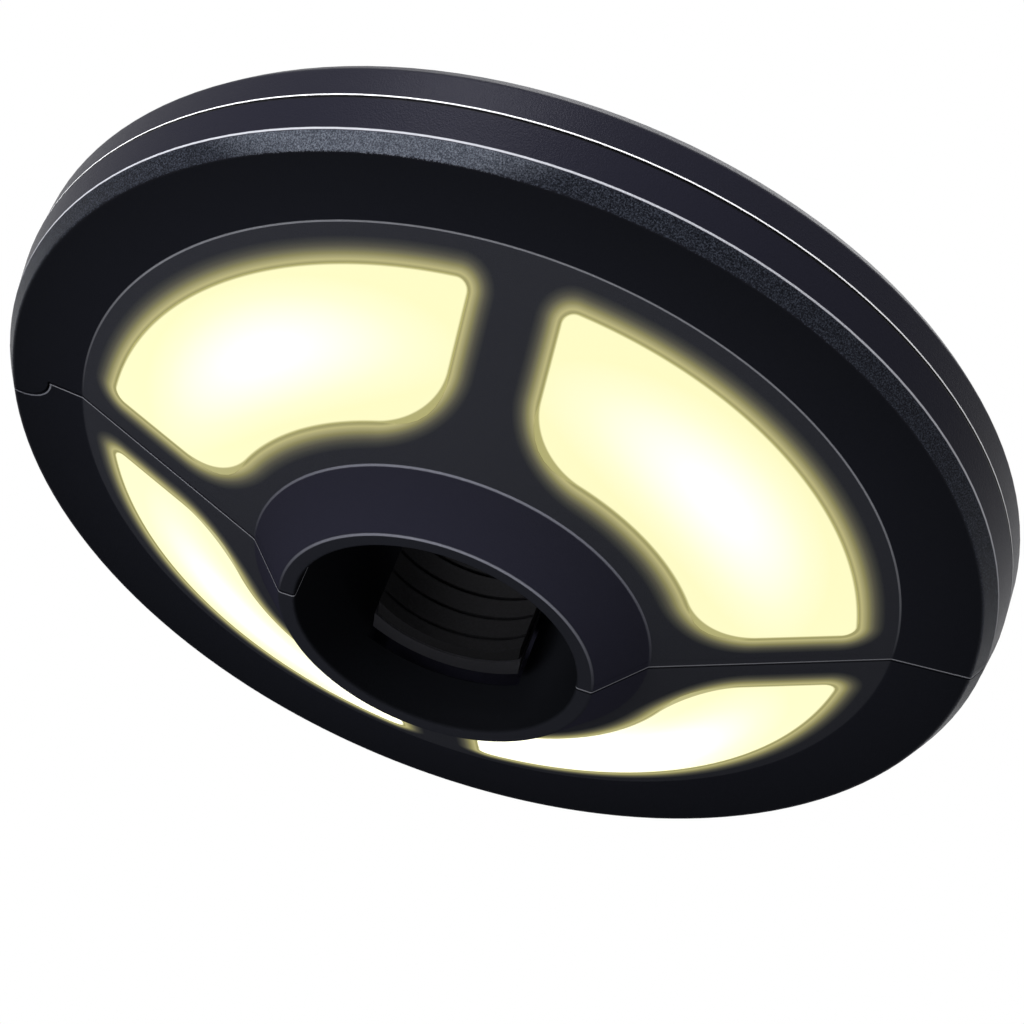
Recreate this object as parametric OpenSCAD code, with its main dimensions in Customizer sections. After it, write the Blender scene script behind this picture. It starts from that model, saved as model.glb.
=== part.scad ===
// Patio umbrella light: a split disc that closes round the umbrella pole and lights downwards.
// Z points up, towards the canopy. The origin is on the pole's axis, halfway up the clamp's pads.
// The split runs along X: hinge at -X, latch at +X. The near half lies at -Y, the far half at +Y.

/* [Body] */
// Radius at the lower edge of the side wall
rim_r = 100; // [90:0.5:110]
// Height of that edge above the middle of the clamp's pads
rim_z = 10; // [9:0.5:12]
// How far the seam between cover and housing, the widest place, stands out past that edge
seam_out = 1.1; // [0.5:0.1:3]
// Height of the seam above the rim's edge
seam_z = 6.9; // [6:0.1:9]
// Height of the cover's flat top above the rim's edge
top_z = 17.5; // [17:0.1:22]
// Width of the bevel and rounding round the top
top_bevel = 9; // [6:0.5:12]
// Height that the bevel loses towards the side wall
top_drop = 1.1; // [0.8:0.1:2]
// Depth of the textured chamfer below the rim's edge
chamfer_h = 3.5; // [3:0.1:4]
// Width of that chamfer
chamfer_w = 2; // [1:0.1:3]
// Depth of the crease where the outer ring meets the lens face, below the rim's edge
ring_h = 4.9; // [4.7:0.05:6]
// Wall of housing and cover
wall = 2.2; // [1.8:0.1:2.6]
// Gap along the split between the halves, each side
split_gap = 0.15; // [0.1:0.05:0.3]
// Gap of the seam between cover and housing
seam_gap = 0.15; // [0.1:0.05:0.3]
// Radius of the soft moulded edges
edge_r = 0.5; // [0.2:0.1:0.8]

/* [Lens face and collar] */
// Width of chamfer and outer ring together, from the rim's edge to the sloping lens face
ring_w = 17.4; // [14:0.1:20]
// Radius where the lens face meets the collar
collar_r = 39.55; // [37.5:0.05:41.5]
// Depth of that crease below the rim's edge
collar_h = 23.95; // [22:0.05:26]
// Outer radius of the collar's lip
lip_r = 31.1; // [30.5:0.1:32.5]
// Depth of the lip below the rim's edge
lip_h = 33.5; // [31:0.1:35]
// Radius of the pole passage
bore_r = 27.9; // [27:0.1:29]

/* [Lenses] */
// Distance from the collar's crease out to the lens window
lens_in = 7.5; // [6.9:0.05:10]
// Distance from the lens window out to the outer ring
lens_out = 7.1; // [6.2:0.1:10]
// Distance from the split and from the cross spoke to the window
lens_side = 8.3; // [8.3:0.1:12]
// Radius of the window's inner corners
lens_inner_corner = 11; // [4:0.5:12]
// Radius of the window's outer corners
lens_outer_corner = 3; // [1:0.5:5]
// Gap round the lens in its window
lens_gap = 0.15; // [0.1:0.05:0.3]
// Thickness of the lens's flange behind the wall
flange_t = 1.2; // [0.8:0.1:1.6]
// How far the flange reaches past the window
flange_w = 1.6; // [1:0.1:1.6]

/* [Light boards] */
// Depth of the board's underside below the rim's edge
board_h = 4.2; // [4:0.1:4.4]
// Thickness of the circuit boards
board_t = 1.6; // [1:0.1:1.6]
// How far the light board reaches in past the lens windows
board_in = 1.2; // [0.5:0.1:2]
// How far the light board ends inside the windows' outer edge
board_out = 0.7; // [0.5:0.1:3]
// Lamps along each arc over one lens
lamps = 7; // [4:1:8]

/* [Pole clamp] */
// Radius of the pole that the pads grip
pole_r = 19.05; // [17:0.05:20]
// Height of pads and jaws
pad_h = 22; // [18:1:23]
// Thickness of the rubber pad
pad_t = 3; // [2:0.1:3.2]
// Thickness of the jaw behind the pad
jaw_t = 3.6; // [3:0.1:4]
// Width of the jaw
jaw_w = 30; // [24:1:31]
// Travel of each jaw away from the pole
jaw_travel = 7; // [4:0.5:7.5]
// Radius of the jaw's hollow stem
stem_r = 4.5; // [4:0.1:4.8]
// Clearance of the stem in its guide
stem_gap = 0.05; // [0.02:0.01:0.1]
// Bore of the stem, where the spring lies
stem_bore_r = 3.4; // [3.1:0.1:3.5]
// Length of the guide that carries the stem
guide_l = 5.7; // [4:0.1:6.5]
// Turns of the jaw's spring
jaw_coils = 9; // [6:1:12]

/* [Hinge] */
// Distance from the rim's edge in to the hinge pin and the middle of its lugs
pin_in = 3.6; // [3:0.1:4]
// Radius of the hinge lugs
lug_r = 6.2; // [6:0.1:6.8]
// Radius of the hinge pin
pin_r = 1.25; // [1:0.05:1.4]
// Running clearance of the pin in the far half's lug
pin_gap = 0.05; // [0.02:0.01:0.1]
// Clearance round the lugs
lug_gap = 0.35; // [0.3:0.05:0.5]
// Height of the near half's lower lug above the rim's edge
lug_step = 1.15; // [0.5:0.05:2]

/* [Latch] */
// Distance from the seam in to the latch's middle
latch_in = 17.6; // [17.4:0.1:19]
// Distance from the split to the latch's middle
latch_y = 8; // [7.5:0.1:9]
// Height of the catch's underside above the rim's edge
catch_z = 8.5; // [8.4:0.1:9]
// Thickness of the catch
catch_t = 2; // [1.5:0.1:2.2]
// Width of the catch
catch_w = 10; // [9:0.5:11]
// Travel of the latch's button
latch_travel = 2.4; // [2.2:0.1:2.5]

/* [Power button] */
// Place of the button along X
power_x = 52; // [48:1:56]
// Place of the button along Y, from the split
power_y = 24; // [20:1:26]
// Radius of the button's cap
power_r = 6.5; // [5:0.1:8]
// Travel of the button
power_travel = 1; // [0.5:0.1:1.2]

/* [Batteries] */
// Radius of an AA cell
cell_r = 7.25; // [7:0.05:7.25]
// Length of a cell with its nub
cell_l = 50.5; // [49.5:0.1:50.5]
// Clearance round the cells
cell_gap = 0.3; // [0.2:0.05:0.5]
// Distance from the pole's axis to the inside of the battery bay
bay_y = 38.3; // [38:0.1:39.5]
// Wall of the battery bay
bay_wall = 1.5; // [1.2:0.1:1.8]
// Thickness of the battery door
door_t = 1.9; // [1.5:0.1:2]
// Gap round the battery door
door_gap = 0.2; // [0.15:0.05:0.4]

/* [Hanging hooks] */
// Radius of the hook's rod
hook_rod_r = 1.3; // [1:0.1:1.4]
// Radius of the hook's bend
hook_bend_r = 4; // [3:0.1:4.2]
// Distance of the hook's tray from the middle of its half, to opposite sides on the two halves
hook_x = 47; // [46:0.5:48]
// Distance from the split to the hook's pivot
hook_y = 42; // [41:0.5:43]

/* [Screws] */
// Radius of the screws' shanks
screw_r = 1.2; // [1:0.05:1.3]
// Radius of the screws' heads
head_r = 2.4; // [2:0.1:2.6]
// Distance from the rim's edge in to the cover's screws
screw_in = 12; // [11:0.5:14]

/* [Hidden] */
$fn = 72;
eps = 0.05;
big = 300;

// Radii that follow the rim
seam_r = rim_r + seam_out;
face_r = rim_r - ring_w;
lens_r1 = collar_r + lens_in;
lens_r2 = face_r - lens_out;
pin_x = rim_r - pin_in;
latch_x = seam_r - latch_in;
screw_ring_r = rim_r - screw_in;

// Heights, all measured from the rim's edge; rim() lifts them to the origin
ring_z = -ring_h;
collar_z = -collar_h;
lip_z = -lip_h;
clamp_z = -rim_z;
ring_slope = (ring_h - chamfer_h) / (rim_r - chamfer_w - face_r);
cone_slope = (collar_h - ring_h) / (face_r - collar_r);
collar_slope = (lip_h - collar_h) / (collar_r - lip_r);
ring_skin = wall * sqrt(1 + ring_slope * ring_slope);
cone_skin = wall * sqrt(1 + cone_slope * cone_slope);
collar_skin = wall * sqrt(1 + collar_slope * collar_slope);
tube_r = bore_r + wall;
under_top = top_z - wall;
floor_z = ring_z + wall;
pin_top = top_z - top_drop - 0.6;

// Clamp: pad, jaw, pocket in the pole passage, guide and spring seat, along Y
jaw_r1 = pole_r + pad_t;
jaw_r2 = jaw_r1 + jaw_t;
pocket_gap = 0.6;
pocket_w = jaw_w + 2 * pocket_gap;
pocket_y = jaw_r2 + jaw_travel + pocket_gap;
pocket_h = pad_h + 2;
pocket_wall = 1.8;
guide_r = stem_r + 2;
guide_end = pocket_y + guide_l;
clip_t = 1;
clip_y = guide_end + 0.2;
clip_r = stem_r + 1;
stem_end = clip_y + clip_t + 1.6;
seat_t = 2;
seat_y = stem_end + jaw_travel + 2;
seat_w = 11;
spigot_r = 1.8;
spigot_l = 2;
spring_wire = 0.6;
spring_y = jaw_r2 + 0.6;

// Boards and their bosses
board_z = -board_h;
board_r1 = lens_r1 - board_in;
board_r2 = lens_r2 - board_out;
boss_r = 1.9;
board_screw_r = 0.9;
board_head_r = 1.8;
boss_x = (board_r1 + board_r2) / 2 + 1;
boss_y = split_gap + wall + board_head_r + 0.3;
spoke_boss_y = board_r2 - 7.5;
lamp_r1 = lens_r1 + 0.26 * (lens_r2 - lens_r1);
lamp_r2 = lens_r1 + 0.68 * (lens_r2 - lens_r1);
lamp_size = [3.5, 2.8, 0.8];

// Battery bay and door
contact_t = 0.4;
spring_room = 4.2;
cell_end = 0.1;
bay_len = cell_l + spring_room + 2 * contact_t;
bay_dep = 4 * cell_r + 3 * cell_gap;
bay_out_y = bay_y + bay_dep;
bay_z = under_top - 0.1 - 2 * cell_r - cell_gap;
ledge = 1.6;
door_y1 = bay_y - ledge;
door_y2 = bay_out_y + 0.9;
door_len = bay_len + 2 * ledge;
door_axis_y = door_y2 + 2.4;
door_axis_z = top_z - 1.7;
barrel_r = 1.6;
trunnion_r = 0.9;
tab_x = 18;
tab_w = 8;
thumb_r = 4.5;

// Hook tray
tray_w = 4 * hook_rod_r + 2 * hook_bend_r + 4.8;
hook_z = top_z - hook_rod_r - 0.2;
hook_c = hook_y + hook_bend_r + 3.8;
tray_y1 = hook_y - hook_rod_r - 0.5;
tray_y2 = hook_c + hook_bend_r + hook_rod_r + 0.6;

// Latch
latch_w = 12;
latch_d = 8;
leg_t = 1.8;
leg_gap = 0.6;
frame_w = catch_w + 2 * (leg_gap + leg_t);
frame_d = 6;
cap_bottom = catch_z + catch_t + latch_travel + 0.3;
latch_flange_top = under_top - 0.2;
tooth_h = catch_z + catch_t - 0.2;
shelf_z = catch_z - latch_travel - 1.5;
latch_seat_z = floor_z + 1.6;
window_w = 5;
catch_screw_y = 9;

// Power button and its board
control_z = 8.4;
control_size = [27, 18];
control_post_x = 10.5;
control_post_r = 2.2;
switch_top = control_z + board_t + 2.4;
plunger_r = 1.7;
power_flange_r = power_r + 1.1;

cover_screw_angles = [25, 65, 115, 155];
head_t = 1.6;

// ---- Points and paths ----
function unit(v) = v / norm(v);

function arc(c, r, a0, a1, n = 6) =
    [for (i = [0:n]) c + r * [cos(a0 + (a1 - a0) * i / n), sin(a0 + (a1 - a0) * i / n)]];

// A closed outline with each corner rounded by the radius in its third number
function rounded(p, n = 4) = [
    for (i = [0:len(p) - 1])
        let (
            b = [p[i][0], p[i][1]],
            a = [for (k = [0:1]) p[(i + len(p) - 1) % len(p)][k]],
            c = [for (k = [0:1]) p[(i + 1) % len(p)][k]],
            u = unit(a - b),
            v = unit(c - b),
            half = acos(u * v) / 2,
            m = b + unit(u + v) * p[i][2] / sin(half),
            s = b + u * p[i][2] / tan(half) - m,
            turn = (u[0] * v[1] - u[1] * v[0] > 0 ? -1 : 1) * (180 - 2 * half)
        )
        each p[i][2] == 0 ? [b]
            : [for (k = [0:n]) let (t = turn * k / n)
                m + [s[0] * cos(t) - s[1] * sin(t), s[0] * sin(t) + s[1] * cos(t)]]
];

// Height of the outer ring, of the lens face and of the collar's slope at a radius
function ring_line(r) = ring_z + (r - face_r) * ring_slope;
function cone_z(r) = ring_z - (face_r - r) * cone_slope;
function collar_line(r) = collar_z - (collar_r - r) * collar_slope;

// ---- Places ----
module rim() translate([0, 0, rim_z]) children();
module near() mirror([0, 1, 0]) children();
module left() mirror([1, 0, 0]) children();

// Everything on the far side of the split
module far_space(gap = split_gap)
    translate([-big / 2, gap, -big / 2]) cube([big, big, big]);

// ---- Sections of the body, radius along X ----
module lower_section() {
    polygon(rounded([
        [seam_r - eps, seam_z, 0],
        [seam_r, seam_z - 0.3, 0],
        [rim_r, 0, edge_r],
        [rim_r - chamfer_w, -chamfer_h, edge_r],
        [face_r, ring_z, 1],
        [collar_r, collar_z, 1],
        [lip_r, lip_z, 0.8],
        [bore_r, lip_z, 0.6],
        [bore_r, seam_z, 0]
    ]));
}

module lower_hollow() {
    corner_r = rim_r - chamfer_w - wall;
    bend_r = face_r - (cone_skin - ring_skin) / (cone_slope - ring_slope);
    crease_r = collar_r + (collar_skin - cone_skin) / (cone_slope - collar_slope);
    polygon([
        [seam_r - wall, seam_z + 1],
        [rim_r - wall, 0],
        [corner_r, ring_line(corner_r) + ring_skin],
        [bend_r, ring_line(bend_r) + ring_skin],
        [crease_r, cone_z(crease_r) + cone_skin],
        [tube_r, collar_line(tube_r) + collar_skin],
        [tube_r, seam_z + 1]
    ]);
}

module upper_section() {
    low = seam_z + seam_gap;
    polygon(rounded([
        [bore_r, low, 0],
        [bore_r, top_z + 1.2, 0.6],
        [tube_r + 1.2, top_z + 1.2, 0.6],
        [tube_r + 2.4, top_z, 0],
        [seam_r - top_bevel, top_z, 1],
        [seam_r - 2, top_z - top_drop + 0.5, 1.5],
        [seam_r, top_z - top_drop - 2.4, 1.5],
        [seam_r, low + 0.3, 0],
        [seam_r - eps, low, 0]
    ]));
}

module upper_hollow() {
    polygon([
        [tube_r, seam_z - 1],
        [tube_r, under_top],
        [seam_r - top_bevel - 0.5, under_top],
        [seam_r - wall - 1, under_top - top_drop],
        [seam_r - wall, under_top - top_drop - 2],
        [seam_r - wall, seam_z - 1]
    ]);
}

module lower_form() rotate_extrude($fn = 144) lower_section();
module upper_form() rotate_extrude($fn = 144) upper_section();

// The wall that closes a half along the split
module split_wall(gap = split_gap)
    for (side = [0, 1]) mirror([side, 0, 0])
        translate([0, gap + wall, 0]) rotate([90, 0, 0]) linear_extrude(wall) children();

// ---- Lens windows ----
module lens_outline(grow = 0) {
    s = lens_side - grow;
    r1 = lens_r1 - grow;
    r2 = lens_r2 + grow;
    q1 = lens_inner_corner + grow;
    q2 = lens_outer_corner + grow;
    c1 = [sqrt(pow(r1 + q1, 2) - pow(s + q1, 2)), s + q1];
    c2 = [sqrt(pow(r2 - q2, 2) - pow(s + q2, 2)), s + q2];
    a1 = atan2(c1[1], c1[0]);
    a2 = atan2(c2[1], c2[0]);
    flip = function (c) [c[1], c[0]];
    polygon(concat(
        arc(c2, q2, -90, a2),
        arc([0, 0], r2, a2 + 1, 89 - a2, 20),
        arc(flip(c2), q2, 90 - a2, 180),
        arc(flip(c1), q1, 180, 270 - a1),
        arc([0, 0], r1, 89 - a1, a1 + 1, 12),
        arc(c1, q1, 180 + a1, 270)
    ));
}

// A layer of the lens face, from height a to height b above its outer surface
module face_layer(a, b)
    rotate_extrude($fn = 144) polygon([
        [lens_r1 - 4, cone_z(lens_r1 - 4) + a], [lens_r2 + 4, cone_z(lens_r2 + 4) + a],
        [lens_r2 + 4, cone_z(lens_r2 + 4) + b], [lens_r1 - 4, cone_z(lens_r1 - 4) + b]
    ]);

module window_prism(grow = 0)
    translate([0, 0, lip_z]) linear_extrude(lip_h) lens_outline(grow);

module lens() rim() color("lightyellow") union() {
    intersection() {
        face_layer(0.1, cone_skin + flange_t);
        window_prism(-lens_gap);
    }
    intersection() {
        face_layer(cone_skin + eps, cone_skin + flange_t);
        window_prism(flange_w);
    }
}

// ---- Hinge ----
module lug(r, z0, z1)
    translate([-pin_x, 0, z0]) cylinder(r = r, h = z1 - z0);

module pin_hole(r, z0, z1)
    translate([-pin_x, 0, z0]) cylinder(r = r, h = z1 - z0, $fn = 32);

// ---- Lower housing ----
module board_bosses() {
    for (x = [-boss_x, boss_x])
        translate([x, boss_y, cone_z(boss_x)]) cylinder(r = boss_r, h = board_z - cone_z(boss_x));
    translate([0, spoke_boss_y, cone_z(spoke_boss_y)])
        cylinder(r = boss_r, h = board_z - cone_z(spoke_boss_y));
}

module board_boss_holes(r) {
    for (x = [-boss_x, boss_x])
        translate([x, boss_y, board_z - 5]) cylinder(r = r, h = 6, $fn = 24);
    translate([0, spoke_boss_y, board_z - 4]) cylinder(r = r, h = 5, $fn = 24);
}

module clamp_pocket(grow = 0)
    translate([-pocket_w / 2 - grow, 0, clamp_z - pocket_h / 2 - grow])
        cube([pocket_w + 2 * grow, pocket_y + grow, pocket_h + 2 * grow]);

module along_y(y0, y1, r, z = clamp_z)
    translate([0, y0, z]) rotate([-90, 0, 0]) cylinder(r = r, h = y1 - y0, $fn = 48);

// Pocket, guide and spring seat that carry one jaw
module clamp_carrier() {
    clamp_pocket(pocket_wall);
    along_y(pocket_y, guide_end, guide_r);
    seat_foot = cone_z(seat_y) + 0.5;
    translate([-seat_w / 2, seat_y, seat_foot])
        cube([seat_w, seat_t, clamp_z + stem_r + 0.5 - seat_foot]);
    along_y(seat_y - spigot_l, seat_y + eps, spigot_r);
}

module cover_posts(r, z0, z1)
    for (a = cover_screw_angles)
        translate([screw_ring_r * cos(a), screw_ring_r * sin(a), z0])
            cylinder(r = r, h = z1 - z0, $fn = 32);

// One half's housing without what differs between the halves; it fills y > 0
module housing_half() {
    difference() {
        union() {
            intersection() {
                difference() {
                    lower_form();
                    rotate_extrude($fn = 144) lower_hollow();
                }
                far_space();
            }
            split_wall() lower_section();
            intersection() {
                union() {
                    lug(lug_r + lug_gap + wall, ring_z, seam_z);
                    difference() {
                        clamp_carrier();
                        translate([0, 0, lip_z]) cylinder(r = bore_r, h = lip_h + seam_z);
                    }
                    board_bosses();
                    cover_posts(head_r + 0.8, ring_z + 1, seam_z);
                }
                lower_form();
                far_space();
            }
        }
        for (side = [0, 1]) mirror([side, 0, 0]) window_prism();
        clamp_pocket();
        along_y(pocket_y - 1, guide_end + 1, stem_r + stem_gap);
        board_boss_holes(board_screw_r + eps);
        cover_posts(screw_r + eps, seam_z - 7, seam_z + 1);
    }
}

module housing_far() rim() color("#26272b") union() {
    difference() {
        union() {
            housing_half();
            translate([latch_x, catch_screw_y, ring_z + 1])
                cylinder(r = 3.5, h = catch_z - ring_z - 1, $fn = 32);
        }
        lug(lug_r + lug_gap, ring_z - 1, lug_step);
        pin_hole(pin_r + pin_gap, lug_step - 1, seam_z + 1);
        translate([latch_x, catch_screw_y, catch_z - 6])
            cylinder(r = screw_r + eps, h = 7, $fn = 24);
    }
    difference() {
        intersection() {
            lug(lug_r, lug_step + seam_gap, seam_z);
            lower_form();
        }
        pin_hole(pin_r + pin_gap, lug_step, seam_z + 1);
    }
}

module housing_near() rim() color("#26272b") difference() {
    union() {
        near() housing_half();
        intersection() {
            lug(lug_r, ring_z, lug_step - 0.15);
            lower_form();
        }
        translate([latch_x, -latch_y, ring_z + 1])
            cylinder(r = 2, h = latch_seat_z - ring_z - 1 + 2, $fn = 32);
        translate([latch_x, -latch_y, ring_z + 1])
            cylinder(r = 4.2, h = latch_seat_z - ring_z - 1, $fn = 32);
    }
    lug(lug_r + lug_gap, lug_step, seam_z + 1);
    pin_hole(pin_r + 0.02, lug_step - 3.4, seam_z);
}

// ---- Upper cover ----
module bay_box(grow, z0, z1)
    translate([-bay_len / 2 - grow, bay_y - grow, z0])
        cube([bay_len + 2 * grow, bay_dep + 2 * grow, z1 - z0]);

module door_opening() {
    translate([-door_len / 2, door_y1, top_z - door_t - 0.1])
        cube([door_len, door_y2 + 0.9 - door_y1, big]);
    for (x = [-tab_x, tab_x])
        translate([x - tab_w / 2 - 0.3, bay_out_y + bay_wall + eps, door_axis_z - barrel_r - 0.4])
            cube([tab_w + 0.6, door_axis_y + barrel_r + 0.5 - bay_out_y - bay_wall, big]);
}

module hinge_slot_walls()
    for (x = [-tab_x, tab_x])
        translate([x - tab_w / 2 - 2.4, door_y2 - 0.4, door_axis_z - barrel_r - 1.8])
            cube([tab_w + 4.8, door_axis_y + barrel_r + 2.3 - door_y2, 2.5 + barrel_r]);

module hook_tray(grow, z0)
    translate([-tray_w / 2 - grow, tray_y1 - grow, z0])
        cube([tray_w + 2 * grow, tray_y2 - tray_y1 + 2 * grow, top_z - z0]);

module along_x(x0, x1, r, y, z)
    translate([x0, y, z]) rotate([0, 90, 0]) cylinder(r = r, h = x1 - x0, $fn = 32);

module cover_half(hook_side) {
    difference() {
        union() {
            intersection() {
                difference() {
                    upper_form();
                    rotate_extrude($fn = 144) upper_hollow();
                }
                far_space();
            }
            split_wall() upper_section();
            intersection() {
                union() {
                    lug(lug_r + lug_gap + wall, seam_z, top_z);
                    cover_posts(head_r + 1.2, seam_z, top_z);
                    translate([hook_side * hook_x, 0, 0])
                        hook_tray(bay_wall, hook_z - hook_rod_r - 0.4 - bay_wall);
                    hinge_slot_walls();
                }
                upper_form();
                far_space();
            }
            bay_box(bay_wall, bay_z - bay_wall, top_z - 1);
        }
        bay_box(0, bay_z, top_z + 1);
        door_opening();
        for (x = [-tab_x, tab_x])
            along_x(x - tab_w / 2 - 1.6, x + tab_w / 2 + 1.6, trunnion_r + 0.05, door_axis_y, door_axis_z);
        translate([0, door_y1 + 1, top_z - 1.1]) cylinder(r = thumb_r, h = 3);
        translate([hook_side * hook_x, 0, 0]) {
            hook_tray(0, hook_z - hook_rod_r - 0.4);
            along_x(-tray_w / 2 - 1, tray_w / 2 + 1, hook_rod_r + 0.06, hook_y, hook_z);
        }
        cover_posts(screw_r + 0.3, seam_z - 1, top_z + 1);
        cover_posts(head_r + 0.3, top_z - head_t - 0.6, top_z + 1);
    }
}

module catch_slot(gap)
    translate([latch_x - catch_w / 2 - gap, -wall - 1, catch_z - gap / 2])
        cube([catch_w + 2 * gap, 2 * wall + 2, catch_t + gap]);

module cover_far() rim() color("#2a2a30") difference() {
    cover_half(1);
    lug(lug_r + lug_gap, seam_z - 1, top_z + 2);
    catch_slot(0.3);
}

module cover_near() rim() color("#2a2a30") difference() {
    union() {
        near() cover_half(-1);
        intersection() {
            lug(lug_r, seam_z + seam_gap, top_z);
            upper_form();
        }
        for (side = [-1, 1])
            translate([latch_x + side * (frame_w / 2 + 1.1) - 0.8, -latch_y - frame_d / 2, catch_z - 2])
                cube([1.6, frame_d, under_top - catch_z + 2 + eps]);
        for (x = [-control_post_x, control_post_x])
            translate([power_x + x, -power_y, control_z + board_t])
                cylinder(r = control_post_r, h = under_top - control_z - board_t + eps, $fn = 32);
    }
    pin_hole(pin_r + 0.02, seam_z - 1, pin_top + 0.1);
    catch_slot(1);
    translate([latch_x - latch_w / 2 - 0.3, -latch_y - latch_d / 2 - 0.3, under_top - 1])
        cube([latch_w + 0.6, latch_d + 0.6, wall + 2]);
    translate([power_x, -power_y, under_top - 1]) cylinder(r = power_r + 0.25, h = wall + 2);
    for (x = [-control_post_x, control_post_x])
        translate([power_x + x, -power_y, control_z])
            cylinder(r = board_screw_r + eps, h = 6, $fn = 24);
}

// ---- Light boards ----
module board_shape()
    intersection() {
        difference() {
            circle(r = board_r2);
            circle(r = board_r1);
        }
        translate([-big / 2, split_gap + wall + 0.3]) square([big, big]);
    }

module light_board() rim() color("white") difference() {
    translate([0, 0, board_z]) linear_extrude(board_t) board_shape();
    for (x = [-boss_x, boss_x])
        translate([x, boss_y, board_z - 1])
            cylinder(r = board_screw_r + 0.3, h = board_t + 2, $fn = 24);
    translate([0, spoke_boss_y, board_z - 1])
        cylinder(r = board_screw_r + 0.3, h = board_t + 2, $fn = 24);
}

module lamp_group() rim() color("gold")
    for (side = [0, 1], r = [lamp_r1, lamp_r2], i = [0:lamps - 1])
        let (edge = asin((lens_side + 4.5) / r), a = edge + (90 - 2 * edge) * i / (lamps - 1))
            mirror([side, 0, 0]) rotate(a) translate([r, 0, board_z - lamp_size[2] / 2])
                cube(lamp_size, center = true);

module board_screws() rim() color("silver")
    for (p = [[-boss_x, boss_y], [boss_x, boss_y], [0, spoke_boss_y]])
        translate([p[0], p[1], board_z - 3]) {
            cylinder(r = board_screw_r, h = 3 + board_t + 0.1, $fn = 24);
            translate([0, 0, 3 + board_t]) cylinder(r = board_head_r, h = 1, $fn = 24);
        }

// ---- Pole clamp ----
module ring_piece(r1, r2, w, h)
    intersection() {
        translate([0, 0, -h / 2]) linear_extrude(h) difference() {
            circle(r = r2, $fn = 96);
            circle(r = r1, $fn = 96);
        }
        translate([-w / 2, 0, -h / 2 - 1]) cube([w, big, h + 2]);
    }

module jaw() color("#1b1b1e") difference() {
    union() {
        ring_piece(jaw_r1, jaw_r2, jaw_w, pad_h);
        along_y(jaw_r1 + 0.8, stem_end, stem_r, 0);
    }
    along_y(spring_y, stem_end + 1, stem_bore_r, 0);
    difference() {
        along_y(clip_y - 0.05, clip_y + clip_t + 0.05, stem_r + 1, 0);
        along_y(clip_y - 1, clip_y + clip_t + 1, stem_r - 0.5, 0);
    }
}

// A rubber pad with grip grooves across the pole
module jaw_pad() color("#101012") difference() {
    ring_piece(pole_r, jaw_r1, jaw_w - 1, pad_h - 1);
    for (z = [-7.5, -2.5, 2.5, 7.5])
        translate([0, 0, z - 0.4]) difference() {
            cylinder(r = pole_r + 0.7, h = 0.8, $fn = 96);
            translate([0, 0, -1]) cylinder(r = pole_r - 1, h = 3, $fn = 96);
        }
}

module jaw_clip() color("silver") difference() {
    along_y(clip_y, clip_y + clip_t, clip_r, 0);
    along_y(clip_y - 1, clip_y + clip_t + 1, stem_r - 0.45, 0);
    translate([-1.5, clip_y - 1, 0]) cube([3, clip_t + 2, 10]);
}

// A spring along Z from z = 0, one unbroken helix that may narrow to r_end
module coil(length, r, wire, turns, r_end = -1) {
    steps = 14;
    sides = 6;
    last = turns * steps;
    r_top = r_end < 0 ? r : r_end;
    points = [for (i = [0:last], k = [0:sides - 1])
        let (
            a = 360 * i / steps,
            u = i / last,
            rr = r + (r_top - r) * u,
            z = wire / 2 + (length - wire) * u,
            b = 360 * k / sides,
            q = rr + wire / 2 * cos(b)
        ) [q * cos(a), q * sin(a), z + wire / 2 * sin(b)]];
    faces = concat(
        [[for (k = [sides - 1:-1:0]) k]],
        [[for (k = [0:sides - 1]) last * sides + k]],
        [for (i = [0:last - 1], k = [0:sides - 1])
            let (a = i * sides + k, b = i * sides + (k + 1) % sides)
            each [[a, b, a + sides], [b, b + sides, a + sides]]]
    );
    polyhedron(points, faces);
}

module jaw_spring() color("silver")
    translate([0, spring_y + 0.1, 0]) rotate([-90, 0, 0])
        coil(seat_y - spring_y - 0.2, stem_bore_r - 0.2 - spring_wire / 2, spring_wire, jaw_coils);

// ---- Hinge pin ----
module hinge_pin() rim() color("silver")
    pin_hole(pin_r, lug_step - 3.3, pin_top);

// ---- Latch ----
module latch_button() rim() color("#1b1b1e") translate([latch_x, -latch_y, 0]) {
    translate([-latch_w / 2, -latch_d / 2, latch_flange_top])
        cube([latch_w, latch_d, top_z + 1.4 - latch_flange_top]);
    translate([-frame_w / 2, -latch_d / 2, cap_bottom])
        cube([frame_w, latch_d, latch_flange_top - cap_bottom]);
    for (side = [0, 1]) mirror([side, 0, 0])
        translate([catch_w / 2 + leg_gap, -frame_d / 2, shelf_z])
            cube([leg_t, frame_d, cap_bottom - shelf_z]);
    translate([-frame_w / 2, -frame_d / 2, shelf_z]) cube([frame_w, frame_d, 1.5]);
    translate([-window_w / 2 + 0.4, -1.8, shelf_z])
        cube([window_w - 0.8, 3.6, tooth_h - shelf_z]);
}

module latch_spring() rim() color("silver")
    translate([latch_x, -latch_y, latch_seat_z + 0.1])
        coil(shelf_z - latch_seat_z - 0.2, 2.8, spring_wire, 4);

module latch_catch() rim() color("#1b1b1e") difference() {
    translate([latch_x - catch_w / 2, -latch_y - 5, catch_z])
        cube([catch_w, latch_y + 5 + catch_screw_y + 4, catch_t]);
    translate([latch_x - window_w / 2, -latch_y - 2.5, catch_z - 1])
        cube([window_w, 5, catch_t + 2]);
    translate([latch_x, catch_screw_y, catch_z - 1])
        cylinder(r = screw_r + 0.3, h = catch_t + 2, $fn = 24);
}

module catch_screw() rim() color("silver")
    translate([latch_x, catch_screw_y, catch_z - 5]) {
        cylinder(r = screw_r, h = 5 + catch_t + 0.1, $fn = 24);
        translate([0, 0, 5 + catch_t]) cylinder(r = head_r, h = head_t, $fn = 24);
    }

// ---- Power button ----
module at_power() rim() translate([power_x, -power_y, 0]) children();

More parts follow.
